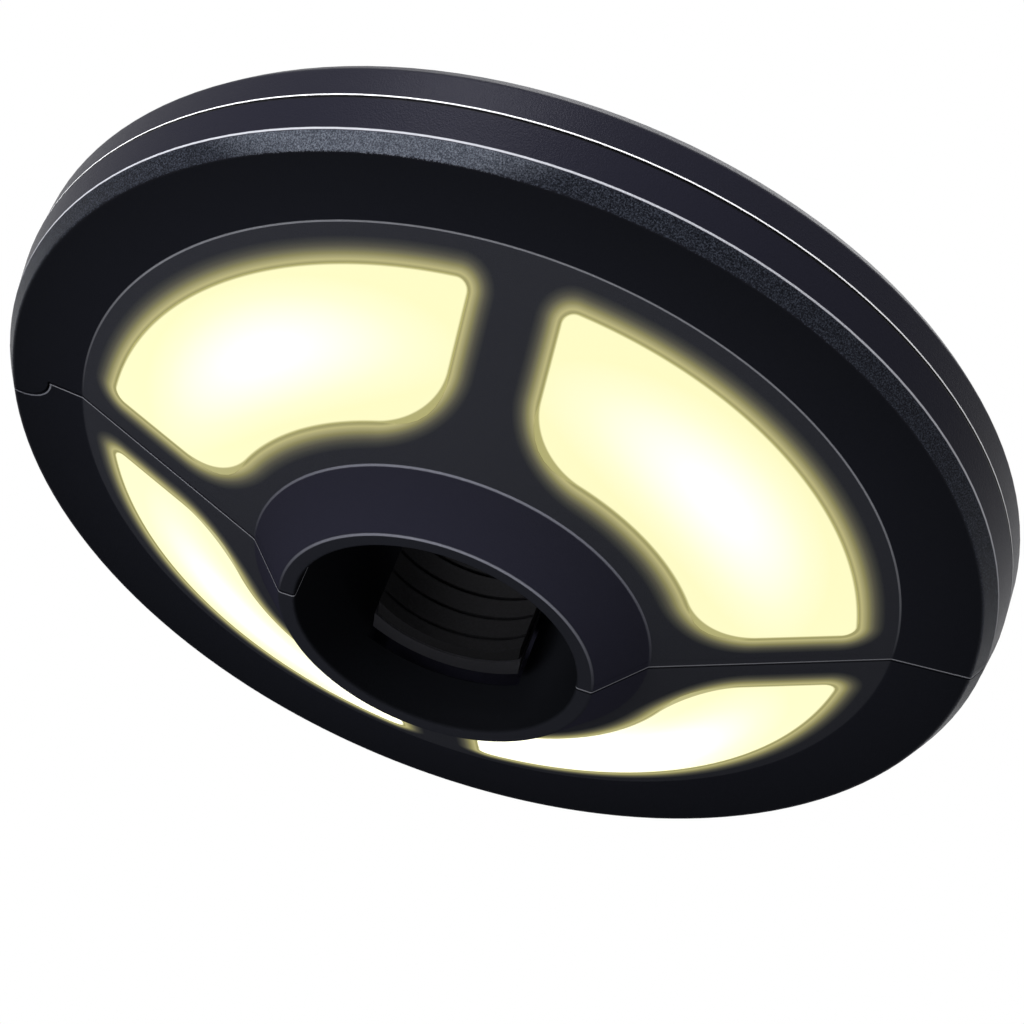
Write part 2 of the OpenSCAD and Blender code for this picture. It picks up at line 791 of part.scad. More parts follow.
module power_button() at_power() color("#1b1b1e") {
    translate([0, 0, under_top - 0.2]) cylinder(r = power_r, h = wall + 1);
    translate([0, 0, under_top - 1.3]) cylinder(r = power_flange_r, h = 1.1 + eps);
}

module power_plunger() at_power() color("black")
    translate([0, 0, switch_top - 0.2])
        cylinder(r = plunger_r, h = under_top - 1.35 - switch_top + 0.2, $fn = 24);

module power_switch() at_power() color("silver") difference() {
    translate([-3, -3, control_z + board_t]) cube([6, 6, switch_top - control_z - board_t]);
    translate([0, 0, switch_top - power_travel - 0.3])
        cylinder(r = plunger_r + 0.15, h = power_travel + 1, $fn = 24);
}

module control_board() at_power() color("darkgreen") difference() {
    translate([-control_size[0] / 2, -control_size[1] / 2, control_z])
        cube([control_size[0], control_size[1], board_t]);
    for (x = [-control_post_x, control_post_x]) translate([x, 0, control_z - 1])
        cylinder(r = board_screw_r + 0.3, h = board_t + 2, $fn = 24);
}

module control_screws() at_power() color("silver")
    for (x = [-control_post_x, control_post_x]) translate([x, 0, control_z - 1]) {
        cylinder(r = board_head_r, h = 1, $fn = 24);
        cylinder(r = board_screw_r, h = 1 + board_t + 3, $fn = 24);
    }

// ---- Battery bay ----
module battery_door() rim() color("#2a2a30") union() {
    difference() {
        translate([-door_len / 2 + door_gap, door_y1 + door_gap, top_z - door_t])
            cube([door_len - 2 * door_gap, door_y2 - door_y1 - door_gap, door_t]);
        for (i = [0:3])
            translate([-7 + 0.6 * i, door_y1 + 2.5 + 1.7 * i, top_z - 0.4])
                cube([14 - 1.2 * i, 0.8, 1]);
    }
    for (x = [-tab_x, tab_x]) {
        along_x(x - tab_w / 2, x + tab_w / 2, barrel_r, door_axis_y, door_axis_z);
        along_x(x - tab_w / 2 - 1.2, x + tab_w / 2 + 1.2, trunnion_r, door_axis_y, door_axis_z);
        translate([x - tab_w / 2, door_y2 - 1, top_z - door_t])
            cube([tab_w, door_axis_y - door_y2 + 1, door_t - 0.3]);
    }
}

module cell_place(i)
    translate([0, bay_y + cell_r + cell_gap + i * (2 * cell_r + cell_gap), bay_z + cell_r + 0.1])
        mirror([i, 0, 0]) children();

module cells() rim() color("#3a5a3a")
    for (i = [0, 1]) cell_place(i)
        translate([bay_len / 2 - contact_t - cell_end - cell_l, 0, 0]) rotate([0, 90, 0]) {
            cylinder(r = cell_r, h = cell_l - 1);
            cylinder(r = 2.75, h = cell_l, $fn = 32);
        }

module contacts() rim() color("silver")
    for (i = [0, 1]) cell_place(i) {
        translate([bay_len / 2 - contact_t, -5, -5]) cube([contact_t, 10, 10]);
        translate([-bay_len / 2, -5, -5]) cube([contact_t, 10, 10]);
        translate([-bay_len / 2 + contact_t + cell_end / 2, 0, 0]) rotate([0, 90, 0])
            coil(spring_room - 2 * cell_end, 4.2, spring_wire, 3, 2.6);
    }

// ---- Hanging hook ----
module hook() rim() translate([hook_x, 0, 0]) color("#1b1b1e") union() {
    along_x(-tray_w / 2 - 0.9, tray_w / 2 + 0.9, hook_rod_r, hook_y, hook_z);
    translate([0, hook_y, hook_z]) rotate([-90, 0, 0])
        cylinder(r = hook_rod_r, h = hook_c - hook_bend_r - hook_y, $fn = 32);
    translate([0, hook_c, hook_z]) rotate([0, 0, -90])
        rotate_extrude(angle = 270, $fn = 64) translate([hook_bend_r, 0]) circle(r = hook_rod_r, $fn = 32);
}

// ---- Screws that hold the cover ----
module cover_screws() rim() color("silver")
    for (a = cover_screw_angles)
        translate([screw_ring_r * cos(a), screw_ring_r * sin(a), 0]) {
            translate([0, 0, seam_z - 6]) cylinder(r = screw_r, h = top_z - head_t - 0.5 - seam_z + 6, $fn = 24);
            translate([0, 0, top_z - head_t - 0.6]) difference() {
                cylinder(r = head_r, h = head_t, $fn = 32);
                for (t = [0, 90]) rotate(t)
                    translate([-1.4, -0.3, head_t - 0.8]) cube([2.8, 0.6, 1]);
            }
        }

housing_near();
housing_far();
cover_near();
cover_far();
near() left() lens();  // lens_near_left
near() lens();  // lens_near_right
left() lens();  // lens_far_left
lens();  // lens_far_right
near() light_board();  // light_board_near
light_board();  // light_board_far
near() lamp_group();  // lamps_near
lamp_group();  // lamps_far
near() jaw();  // jaw_near
jaw();  // jaw_far
near() jaw_pad();  // jaw_pad_near
jaw_pad();  // jaw_pad_far
near() jaw_clip();  // jaw_clip_near
jaw_clip();  // jaw_clip_far
near() jaw_spring();  // jaw_spring_near
jaw_spring();  // jaw_spring_far
hinge_pin();
latch_button();
latch_spring();
latch_catch();
catch_screw();
power_button();
power_plunger();
power_switch();
control_board();
control_screws();
near() battery_door();  // battery_door_near
battery_door();  // battery_door_far
near() cells();  // cells_near
cells();  // cells_far
near() contacts();  // contacts_near
contacts();  // contacts_far
near() left() hook();  // hook_near
hook();  // hook_far
near() cover_screws();  // cover_screws_near
cover_screws();  // cover_screws_far
near() board_screws();  // board_screws_near
board_screws();  // board_screws_far
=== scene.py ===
import math

import bmesh
import bpy
from mathutils import Matrix, Vector


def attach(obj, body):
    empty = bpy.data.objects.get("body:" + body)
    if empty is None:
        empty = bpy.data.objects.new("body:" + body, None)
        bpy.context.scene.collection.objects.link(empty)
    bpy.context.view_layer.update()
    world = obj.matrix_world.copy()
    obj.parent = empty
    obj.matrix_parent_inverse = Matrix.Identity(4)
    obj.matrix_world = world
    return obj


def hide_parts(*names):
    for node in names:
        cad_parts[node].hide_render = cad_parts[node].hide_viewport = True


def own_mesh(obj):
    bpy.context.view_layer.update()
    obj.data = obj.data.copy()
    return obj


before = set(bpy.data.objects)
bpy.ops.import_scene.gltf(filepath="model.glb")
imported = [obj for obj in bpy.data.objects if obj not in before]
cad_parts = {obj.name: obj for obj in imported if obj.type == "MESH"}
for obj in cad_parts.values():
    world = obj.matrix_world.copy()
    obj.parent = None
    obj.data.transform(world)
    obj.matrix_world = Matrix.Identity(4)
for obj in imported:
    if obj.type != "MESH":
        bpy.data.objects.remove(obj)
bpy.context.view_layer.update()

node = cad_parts

# ---- Camera ----
# It looks up from under the light, a little to the right of its near side, and leans over, as the photograph's
# did. Angles are in radians, distances in metres.
RIM_Z = 0.010
azimuth, elevation, lean = 0.1254, -0.6145, 0.3868
distance, focal_mm, film_mm = 0.6058, 109.63, 36.0
back = Vector((math.sin(azimuth) * math.cos(elevation), -math.cos(azimuth) * math.cos(elevation),
               math.sin(elevation)))
level = (-back).cross(Vector((0, 0, 1))).normalized()
upward = level.cross(-back)
camera_x = math.cos(lean) * level + math.sin(lean) * upward
camera_y = math.cos(lean) * upward - math.sin(lean) * level
camera = bpy.data.objects.new("camera", bpy.data.cameras.new("camera"))
bpy.context.scene.collection.objects.link(camera)
camera.matrix_world = Matrix.Translation(Vector((0, 0, RIM_Z)) + back * distance) @ Matrix(
    (camera_x, camera_y, back)).transposed().to_4x4()
camera.data.lens = focal_mm
camera.data.sensor_width = film_mm
camera.data.shift_x = 0.02250
camera.data.shift_y = -0.00454
bpy.context.scene.camera = camera

# ---- Lower housings ----
# Two injection-moulded halves in black ABS, with a spark-eroded matt skin and a coarser grain on the chamfer.
# Their creases, the rim and the edges along the split carry painted highlights, and the gaps at the split and
# the seam carry painted shade.
# Sizes in mm: radii and heights of the face, the hinge lug, and the lens windows
FACE_R, COLLAR_R, LIP_R, BORE_R, RING_R, SEAM_Z = 82.6, 39.55, 31.1, 27.9, 98.0, 17.0
PIN_X, LUG_R = 96.4, 6.2
LENS_R1, LENS_R2, LENS_SIDE, INNER_CORNER, OUTER_CORNER = 47.05, 75.5, 8.3, 11.0, 3.0
# What a measure gains where it shall draw no line, and how squarely a face looks across the split to be inside
FAR_OFF, FACES_SPLIT = 50.0, 0.7
# The painted glow stays on the lens face, below this height; the chamfer's grain carries a painted reflection
# to this side
PAINTED_GLOW_TOP, REFLECTION_SIDE = 4.6, (-0.309, -0.951, 0)


def linear(hex_colour):
    """An sRGB hex colour as linear RGBA."""
    parts = [int(hex_colour[i:i + 2], 16) / 255 for i in (1, 3, 5)]
    return [c / 12.92 if c <= 0.04045 else ((c + 0.055) / 1.055) ** 2.4 for c in parts] + [1.0]


def add(tree, kind, links=None, **settings):
    """One node with its settings; a socket given for an input is linked, anything else is its value."""
    made = tree.nodes.new("ShaderNode" + kind)
    for name, value in settings.items():
        setattr(made, name, value)
    for name, value in (links or {}).items():
        if isinstance(value, bpy.types.NodeSocket):
            tree.links.new(value, made.inputs[name])
        else:
            made.inputs[name].default_value = value
    return made


def new_material(name):
    """An empty material, its tree and its points in millimetres."""
    material = bpy.data.materials.new(name)
    material.use_nodes = True
    tree = material.node_tree
    tree.nodes.clear()
    place = add(tree, "TexCoord").outputs["Object"]
    mm = add(tree, "VectorMath", {0: place, "Scale": 1000.0}, operation="SCALE").outputs[0]
    return material, tree, mm


def steps(tree, value, stops):
    """A colour ramp through (value, hex) stops, whatever range the values have."""
    low, high = stops[0][0], stops[-1][0]
    share = add(tree, "MapRange", {"Value": value, "From Min": low, "From Max": high}).outputs[0]
    ramp = add(tree, "ValToRGB", {"Fac": share})
    points = ramp.color_ramp.elements
    while len(points) < len(stops):
        points.new(0.5)
    for point, (position, colour) in zip(points, stops):
        point.position = (position - low) / (high - low)
        point.color = linear(colour)
    return ramp.outputs[0]


def plan(tree, place):
    """A point's three parts, the point laid flat, and its distance from the light's axis."""
    xyz = add(tree, "SeparateXYZ", {0: place})
    flat = add(tree, "CombineXYZ", {"X": xyz.outputs[0], "Y": xyz.outputs[1]}).outputs[0]
    return xyz, flat, add(tree, "VectorMath", {0: flat}, operation="LENGTH").outputs["Value"]


def window_distance(tree, mm):
    """Distance in the plan from the nearest lens window's outline, in mm, negative inside."""
    folded = add(tree, "VectorMath", {0: mm}, operation="ABSOLUTE").outputs[0]
    xyz, _, radius = plan(tree, folded)
    nearer = add(tree, "Math", {0: xyz.outputs[0], 1: xyz.outputs[1]}, operation="MINIMUM").outputs[0]
    reach = []
    for sign, limit, corner in ((-1, LENS_R1, INNER_CORNER), (1, LENS_R2, OUTER_CORNER)):
        side = add(tree, "Math", {0: LENS_SIDE + corner, 1: nearer}, operation="SUBTRACT").outputs[0]
        ring = add(tree, "Math", {0: radius, 1: sign, 2: corner - sign * limit},
                   operation="MULTIPLY_ADD").outputs[0]
        pair = add(tree, "CombineXYZ", {"X": side, "Y": ring}).outputs[0]
        outside = add(tree, "VectorMath", {0: pair, 1: (0, 0, 0)}, operation="MAXIMUM").outputs[0]
        outside = add(tree, "VectorMath", {0: outside}, operation="LENGTH").outputs["Value"]
        inside = add(tree, "Math", {0: side, 1: ring}, operation="MAXIMUM").outputs[0]
        inside = add(tree, "Math", {0: inside, 1: 0.0}, operation="MINIMUM").outputs[0]
        total = add(tree, "Math", {0: outside, 1: inside}, operation="ADD").outputs[0]
        reach.append(add(tree, "Math", {0: total, 1: corner}, operation="SUBTRACT").outputs[0])
    return add(tree, "Math", {0: reach[0], 1: reach[1]}, operation="MAXIMUM").outputs[0]


def painted_line(tree, colour, measure, at, half, tint, shown):
    """The colour with a painted line of another tint, highlight and shade alike, where the measure is within
    half a width of a value.
    """
    off = add(tree, "Math", {0: measure, 1: at}, operation="SUBTRACT").outputs[0]
    off = add(tree, "Math", {0: off}, operation="ABSOLUTE").outputs[0]
    line = add(tree, "MapRange", {"Value": off, "From Min": half * 0.5, "From Max": half, "To Min": 1.0,
                                  "To Max": 0.0}).outputs[0]
    for share in shown:
        line = add(tree, "Math", {0: line, 1: share}, operation="MULTIPLY").outputs[0]
    return add(tree, "Mix", {"Factor": line, 6: colour, 7: linear(tint)}, data_type="RGBA").outputs[2]


def split_measure(tree, xyz):
    """Distance across the split in mm, turned round between its ends; far off on the hinge lug and inside."""
    side = add(tree, "Math", {0: xyz.outputs[0]}, operation="SIGN").outputs[0]
    across = add(tree, "Math", {0: xyz.outputs[1], 1: side}, operation="MULTIPLY").outputs[0]
    lug = add(tree, "Math", {0: xyz.outputs[0], 1: LUG_R - PIN_X}, operation="LESS_THAN").outputs[0]
    facing = add(tree, "SeparateXYZ", {0: add(tree, "TexCoord").outputs["Normal"]}).outputs[1]
    facing = add(tree, "Math", {0: facing}, operation="ABSOLUTE").outputs[0]
    within = add(tree, "Math", {0: facing, 1: FACES_SPLIT}, operation="GREATER_THAN").outputs[0]
    hidden = add(tree, "Math", {0: lug, 1: within}, operation="MAXIMUM").outputs[0]
    return add(tree, "Math", {0: hidden, 1: FAR_OFF, 2: across}, operation="MULTIPLY_ADD").outputs[0]


def lug_measure(tree, mm, xyz):
    """Distance from the hinge pin's axis on the far half, in mm, and far off on the near half."""
    from_pin = add(tree, "VectorMath", {0: mm, 1: (PIN_X, 0, 0)}, operation="ADD").outputs[0]
    from_pin = add(tree, "VectorMath", {0: from_pin, 1: (1, 1, 0)}, operation="MULTIPLY").outputs[0]
    from_pin = add(tree, "VectorMath", {0: from_pin}, operation="LENGTH").outputs["Value"]
    near = add(tree, "Math", {0: xyz.outputs[1], 1: 0.2}, operation="LESS_THAN").outputs[0]
    return add(tree, "Math", {0: near, 1: FAR_OFF, 2: from_pin}, operation="MULTIPLY_ADD").outputs[0]


def moulded_abs(name, zones, lines, sheen, lit_face):
    """Matt black ABS with tones by radius and painted lines of highlight and shade; a lit face has the chamfer
    with its painted reflection and the painted glow round the lenses.
    """
    material, tree, mm = new_material(name)
    xyz, flat, radius = plan(tree, mm)
    height = xyz.outputs[2]
    inner = add(tree, "Math", {0: radius, 1: RING_R}, operation="LESS_THAN").outputs[0]
    wall = add(tree, "Math", {0: inner, 1: FAR_OFF, 2: height}, operation="MULTIPLY_ADD").outputs[0]
    measures = {"radius": radius, "wall": wall, "split": split_measure(tree, xyz),
                "lug": lug_measure(tree, mm, xyz)}
    # The painted highlights on the creases are bright on the near side and fade round to the far side
    highlight_fade = add(tree, "MapRange", {"Value": xyz.outputs[1], "From Min": -45.0, "From Max": 0.0, "To Min": 1.0,
                                    "To Max": 0.0}).outputs[0]
    colour = steps(tree, radius, zones)
    speck = add(tree, "TexNoise", {"Vector": mm, "Scale": 3.0, "Detail": 2.0,
                                   "Roughness": 0.6}).outputs["Fac"]
    grain = speck
    if lit_face:
        # The eroded chamfer: grain of about 0.3 mm, with a ragged lower edge where it runs out on the ring
        coarse = add(tree, "TexNoise", {"Vector": mm, "Scale": 3.4, "Detail": 3.0,
                                        "Roughness": 0.75}).outputs["Fac"]
        ragged = add(tree, "Math", {0: coarse, 1: 1.4, 2: -0.7}, operation="MULTIPLY_ADD").outputs[0]
        ragged = add(tree, "Math", {0: radius, 1: ragged}, operation="ADD").outputs[0]
        outer = add(tree, "Math", {0: ragged, 1: RING_R - 0.1}, operation="GREATER_THAN").outputs[0]
        below = add(tree, "Math", {0: height, 1: RIM_Z * 1000 - 0.25}, operation="LESS_THAN").outputs[0]
        band = add(tree, "Math", {0: outer, 1: below}, operation="MULTIPLY").outputs[0]
        dull = steps(tree, coarse, [(0.36, "#08090c"), (0.5, "#191b21"), (0.64, "#363a44")])
        # Left of the near side the same grain is painted brighter, a painted reflection
        reflection_grain = steps(tree, coarse, [(0.36, "#23262c"), (0.5, "#3f434c"), (0.64, "#62666f")])
        toward = add(tree, "VectorMath", {0: flat, 1: REFLECTION_SIDE}, operation="DOT_PRODUCT").outputs["Value"]
        bright = add(tree, "MapRange", {"Value": toward, "From Min": 93.0, "From Max": 98.0},
                     interpolation_type="SMOOTHSTEP").outputs[0]
        coarse_colour = add(tree, "Mix", {"Factor": bright, 6: dull, 7: reflection_grain}, data_type="RGBA").outputs[2]
        colour = add(tree, "Mix", {"Factor": band, 6: colour, 7: coarse_colour}, data_type="RGBA").outputs[2]
        grain = add(tree, "Mix", {"Factor": band, 2: speck, 3: coarse}, data_type="FLOAT").outputs[0]
    for measure, at, half, tint, low, high, fades in lines:
        above = add(tree, "Math", {0: height, 1: low}, operation="GREATER_THAN").outputs[0]
        under = add(tree, "Math", {0: height, 1: high}, operation="LESS_THAN").outputs[0]
        colour = painted_line(tree, colour, measures[measure], at, half, tint, [above, under] + [highlight_fade] * fades)
    softened = add(tree, "Bevel", {"Radius": 0.0004}, samples=4).outputs[0]
    bump = add(tree, "Bump", {"Height": grain, "Strength": 0.25, "Distance": 0.0003,
                              "Normal": softened}).outputs[0]
    matt = add(tree, "MapRange", {"Value": speck, "To Min": 0.28, "To Max": 0.42}).outputs[0]
    # The sheen inside the chamfer differs from that of the wall outside it
    shine = add(tree, "MapRange", {"Value": radius, "From Min": RING_R - 0.6, "From Max": RING_R,
                                   "To Min": sheen[0], "To Max": sheen[1]}).outputs[0]
    shader = add(tree, "BsdfPrincipled", {
        "Base Color": colour, "Roughness": matt, "Normal": bump, "IOR": 1.53, "Specular IOR Level": shine,
        "Specular Tint": linear("#dedef6")})
    if lit_face:
        # A painted glow round each lens, given off by the housing's surface: an olive line on the window's
        # edge, then a halo of 4.5 mm
        painted_glow = steps(tree, window_distance(tree, mm), [
            (-0.4, "#a29d66"), (0.1, "#9d9862"), (0.5, "#b9b278"), (1.0, "#a29c6a"), (1.6, "#85804f"),
            (2.2, "#676447"), (2.9, "#474433"), (3.7, "#2a2a20"), (4.6, "#000000")])
        lowest = add(tree, "Math", {0: height, 1: PAINTED_GLOW_TOP}, operation="LESS_THAN").outputs[0]
        painted_glow = add(tree, "Mix", {"Factor": lowest, 6: linear("#000000"), 7: painted_glow},
                    data_type="RGBA").outputs[2]
        tree.links.new(painted_glow, shader.inputs["Emission Color"])
        shader.inputs["Emission Strength"].default_value = 1.0
    tree.links.new(shader.outputs[0], add(tree, "OutputMaterial").inputs[0])
    return material


def finish_with(material, *names):
    """Gives CAD nodes their material."""
    for name in names:
        node[name].data.materials.clear()
        node[name].data.materials.append(material)


# Collar, sloping lens face, darker outer ring, chamfer and side wall, each with its tone; the tones are partly
# painted shade, and the bore's near black is painted shade
FACE_ZONES = [(BORE_R, "#0e0f12"), (BORE_R + 0.5, "#1b1c21"), (LIP_R, "#1b1c21"), (LIP_R + 0.4, "#20202a"),
              (COLLAR_R - 0.2, "#1f1f28"), (COLLAR_R + 0.2, "#232429"), (FACE_R - 0.2, "#25262b"),
              (FACE_R + 0.2, "#131419"), (RING_R - 0.2, "#101115"), (RING_R + 0.4, "#1a1a23"),
              (99.9, "#1a1a23")]
# Painted lines, highlights and shade in the gaps: what is measured, where, half width in mm, tint, the heights
# between which it
#  shows, and whether it fades towards the far side
FACE_PAINTED_LINES = [
    # The first and the last line are painted shade in the gaps of the split and the seam; the rest are painted
    # highlights
    ("split", 0.10, 0.30, "#030304", -30.0, 9.0, False),
    ("split", -0.32, 0.20, "#6b6c72", -30.0, 9.0, False),
    ("lug", LUG_R + 0.62, 0.20, "#5a5b62", -30.0, 9.0, False),
    ("wall", RIM_Z * 1000 + 0.05, 0.24, "#acadb5", 9.0, 11.0, True),
    ("radius", FACE_R, 0.24, "#66676d", -30.0, 5.8, True),
    ("radius", COLLAR_R, 0.24, "#6c6d77", -30.0, -12.0, True),
    ("radius", LIP_R, 0.28, "#7c7d88", -30.0, -21.0, True),
    ("wall", SEAM_Z - 0.25, 0.25, "#020203", SEAM_Z - 1, SEAM_Z, False),
]
housing_abs = moulded_abs("spark_eroded_abs", FACE_ZONES, FACE_PAINTED_LINES, sheen=(0.0, 0.03), lit_face=True)
finish_with(housing_abs, "housing_near", "housing_far")

# ---- Lenses ----
# Four opal polycarbonate diffusers, moulded to the slope of the face and held from behind by a flange. The
# light is warm at their edges and whitest over the middle of the LED arcs.
# The white spot's radius on the light, and its half widths across and along the arc, in mm
SPOT_R, SPOT_ACROSS, SPOT_ALONG = 61.5, 9.5, 31.0
opal, tree, mm = new_material("opal_polycarbonate_lit")
inward = add(tree, "Math", {0: window_distance(tree, mm), 1: -1.0}, operation="MULTIPLY").outputs[0]
folded = add(tree, "VectorMath", {0: mm}, operation="ABSOLUTE").outputs[0]
xyz, _, radius = plan(tree, folded)
bearing = add(tree, "Math", {0: xyz.outputs[1], 1: xyz.outputs[0]}, operation="ARCTAN2").outputs[0]
across = add(tree, "Math", {0: radius, 1: 1 / SPOT_ACROSS, 2: -SPOT_R / SPOT_ACROSS},
             operation="MULTIPLY_ADD").outputs[0]
along = add(tree, "Math", {0: bearing, 1: SPOT_R / SPOT_ALONG, 2: -math.pi / 4 * SPOT_R / SPOT_ALONG},
            operation="MULTIPLY_ADD").outputs[0]
spot = add(tree, "CombineXYZ", {"X": across, "Y": along}).outputs[0]
spot = add(tree, "VectorMath", {0: spot}, operation="LENGTH").outputs["Value"]
lit = steps(tree, spot, [(0.3, "#ffffff"), (0.6, "#fffeee"), (1.0, "#fefcd2"), (1.35, "#fdf9c2")])
outline = add(tree, "MapRange", {"Value": inward, "From Min": 0.25, "From Max": 0.6}).outputs[0]
lit = add(tree, "Mix", {"Factor": outline, 6: linear("#aaa565"), 7: lit}, data_type="RGBA").outputs[2]
shader = add(tree, "BsdfPrincipled", {
    "Base Color": linear("#2f2e28"), "Roughness": 0.35, "IOR": 1.58, "Specular IOR Level": 0.2,
    "Emission Color": lit, "Emission Strength": 0.97})
tree.links.new(shader.outputs[0], add(tree, "OutputMaterial").inputs[0])
finish_with(opal, "lens_near_left", "lens_near_right", "lens_far_left", "lens_far_right")


# ---- Light boards and LEDs ----
# Glass-epoxy boards under a white solder mask that throws the light down, with two arcs of small LEDs whose
# yellow phosphor shows, and three pan-head screws into the housing's bosses.
def plain_finish(name, dark, light, grain_mm, roughness, metallic=0.0, stretch=(1, 1, 1), bump_mm=0.02,
                 **sockets):
    """A material with one grain: its two colours, the grain's size in mm, and a bump of that grain."""
    material, tree, mm = new_material(name)
    drawn = add(tree, "Mapping", {"Vector": mm, "Scale": stretch}).outputs[0]
    grain = add(tree, "TexNoise", {"Vector": drawn, "Scale": 1 / grain_mm, "Detail": 3.0}).outputs["Fac"]
    colour = steps(tree, grain, [(0.3, dark), (0.7, light)])
    rough = add(tree, "MapRange", {"Value": grain, "To Min": roughness[0], "To Max": roughness[1]}).outputs[0]
    bump = add(tree, "Bump", {"Height": grain, "Strength": 0.3, "Distance": bump_mm / 1000}).outputs[0]
    shader = add(tree, "BsdfPrincipled", {"Base Color": colour, "Roughness": rough, "Normal": bump,
                                          "Metallic": metallic, **sockets})
    tree.links.new(shader.outputs[0], add(tree, "OutputMaterial").inputs[0])
    return material


white_mask = plain_finish("white_solder_mask", "#dcdcd6", "#eeeeea", 1.2, (0.25, 0.4))
phosphor = plain_finish("led_phosphor", "#e0b13a", "#f2cf62", 0.8, (0.3, 0.45))
zinc = plain_finish("zinc_plated_steel", "#a9abae", "#c4c6c8", 0.6, (0.25, 0.42), metallic=1.0)
finish_with(white_mask, "light_board_near", "light_board_far")
finish_with(phosphor, "lamps_near", "lamps_far")
finish_with(zinc, "board_screws_near", "board_screws_far")

# ---- Pole jaws ----
# Each jaw is a curved shoe of glass-filled nylon on a hollow stem, faced with a grooved EPDM rubber pad and
# kept on its guide by a spring-steel clip.
nylon = plain_finish("glass_filled_nylon", "#17171a", "#1f1f23", 0.4, (0.45, 0.6),
                     **{"Specular IOR Level": 0.2})
epdm = plain_finish("epdm_rubber", "#0b0b0c", "#131315", 0.5, (0.75, 0.9), bump_mm=0.05,
                    **{"Specular IOR Level": 0.05})
spring_steel = plain_finish("spring_steel", "#8e9094", "#b0b2b6", 0.5, (0.22, 0.36), metallic=1.0)
finish_with(nylon, "jaw_near", "jaw_far")
finish_with(epdm, "jaw_pad_near", "jaw_pad_far")
finish_with(spring_steel, "jaw_clip_near", "jaw_clip_far")


# The springs that push the jaws are wound from 0.6 mm spring wire, with a closed turn at each end.
def wound_spring(name, foot, direction, length, radius, turns, top_radius=None, material=spring_steel,
                 wire=0.6):
    """A compression spring from its foot along a direction, with a closed turn at each end; sizes in mm."""
    top_radius = top_radius or radius
    around, closed = 20, 1.0
    end_rise = closed * wire * 1.02
    shape = bmesh.new()
    section = bmesh.ops.create_circle(shape, segments=10, radius=wire / 2, cap_ends=True)
    bmesh.ops.transform(shape, verts=section["verts"],
                        matrix=Matrix.Translation((radius, 0, 0)) @ Matrix.Rotation(math.pi / 2, 4, "X"))
    free = (length - wire) - 2 * end_rise
    ends = list(shape.verts) + list(shape.edges) + list(shape.faces)
    for count, rise in ((closed, end_rise), (turns - 2 * closed, free), (closed, end_rise)):
        wound = bmesh.ops.spin(shape, geom=ends, cent=(0, 0, 0), axis=(0, 0, 1), angle=math.tau * count,
                               dvec=(0, 0, rise / round(around * count)), steps=round(around * count))
        ends = wound["geom_last"]
    bmesh.ops.translate(shape, verts=shape.verts, vec=(0, 0, wire / 2))
    for vertex in shape.verts:
        narrowed = 1 + (top_radius / radius - 1) * min(max(vertex.co.z / length, 0), 1)
        vertex.co.x *= narrowed
        vertex.co.y *= narrowed
    bmesh.ops.remove_doubles(shape, verts=shape.verts, dist=wire / 1000)
    bmesh.ops.recalc_face_normals(shape, faces=shape.faces)
    turn = Vector((0, 0, 1)).rotation_difference(Vector(direction)).to_matrix().to_4x4()
    bmesh.ops.transform(shape, verts=shape.verts,
                        matrix=Matrix.Translation(Vector(foot) / 1000) @ turn @ Matrix.Scale(0.001, 4))
    return piece_from(shape, name, material)


def piece_from(shape, name, material):
    """A smooth-shaded object from a finished bmesh."""
    mesh = bpy.data.meshes.new(name)
    shape.to_mesh(mesh)
    shape.free()
    mesh.polygons.foreach_set("use_smooth", [True] * len(mesh.polygons))
    mesh.materials.append(material)
    made = bpy.data.objects.new(name, mesh)
    bpy.context.scene.collection.objects.link(made)
    return made


JAW_TRAVEL, JAW_SPRING_START, JAW_SPRING_END, JAW_COIL_R, JAW_COIL_TURNS = 7.0, 26.35, 50.65, 2.9, 9
for side, sign in (("near", -1), ("far", 1)):
    coil = wound_spring("jaw_coil_" + side, (0, sign * JAW_SPRING_START, 0), (0, sign, 0),
                        JAW_SPRING_END - JAW_SPRING_START, JAW_COIL_R, JAW_COIL_TURNS)
    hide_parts("jaw_spring_" + side)
    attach(coil, side + "_half")
    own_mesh(coil)

# ---- Hinge pin ----
# A ground steel pin, pressed into the near half's lugs, that the far half's lug turns on.
ground_steel = plain_finish("ground_steel", "#9a9ca0", "#bfc1c4", 0.3, (0.18, 0.3), metallic=1.0,
                            stretch=(1, 1, 0.1))
finish_with(ground_steel, "hinge_pin")

# ---- Latch ----
# A push button of nylon on a frame with a tooth; the tooth stands in the window of a catch that is screwed to
# the far half, and a short wound spring holds it up.
finish_with(nylon, "latch_button", "latch_catch")
finish_with(zinc, "catch_screw")
LATCH_PLACE, LATCH_SPRING_LENGTH, LATCH_TRAVEL = (83.5, -8.0, 9.0), 5.5, 2.4
LATCH_COIL_R, LATCH_COIL_TURNS = 2.8, 4
latch_coil = wound_spring("latch_coil", LATCH_PLACE, (0, 0, 1), LATCH_SPRING_LENGTH, LATCH_COIL_R,
                          LATCH_COIL_TURNS)
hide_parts("latch_spring")
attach(latch_coil, "near_half")
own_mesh(latch_coil)

# ---- Power switch ----
# A tact switch on a small glass-epoxy board under green solder mask. The nylon cap above works it through a
# plunger.
green_mask = plain_finish("green_solder_mask", "#123a20", "#1b4f2d", 1.5, (0.25, 0.4))
finish_with(green_mask, "control_board")
finish_with(zinc, "control_screws", "power_switch")
finish_with(nylon, "power_button", "power_plunger")

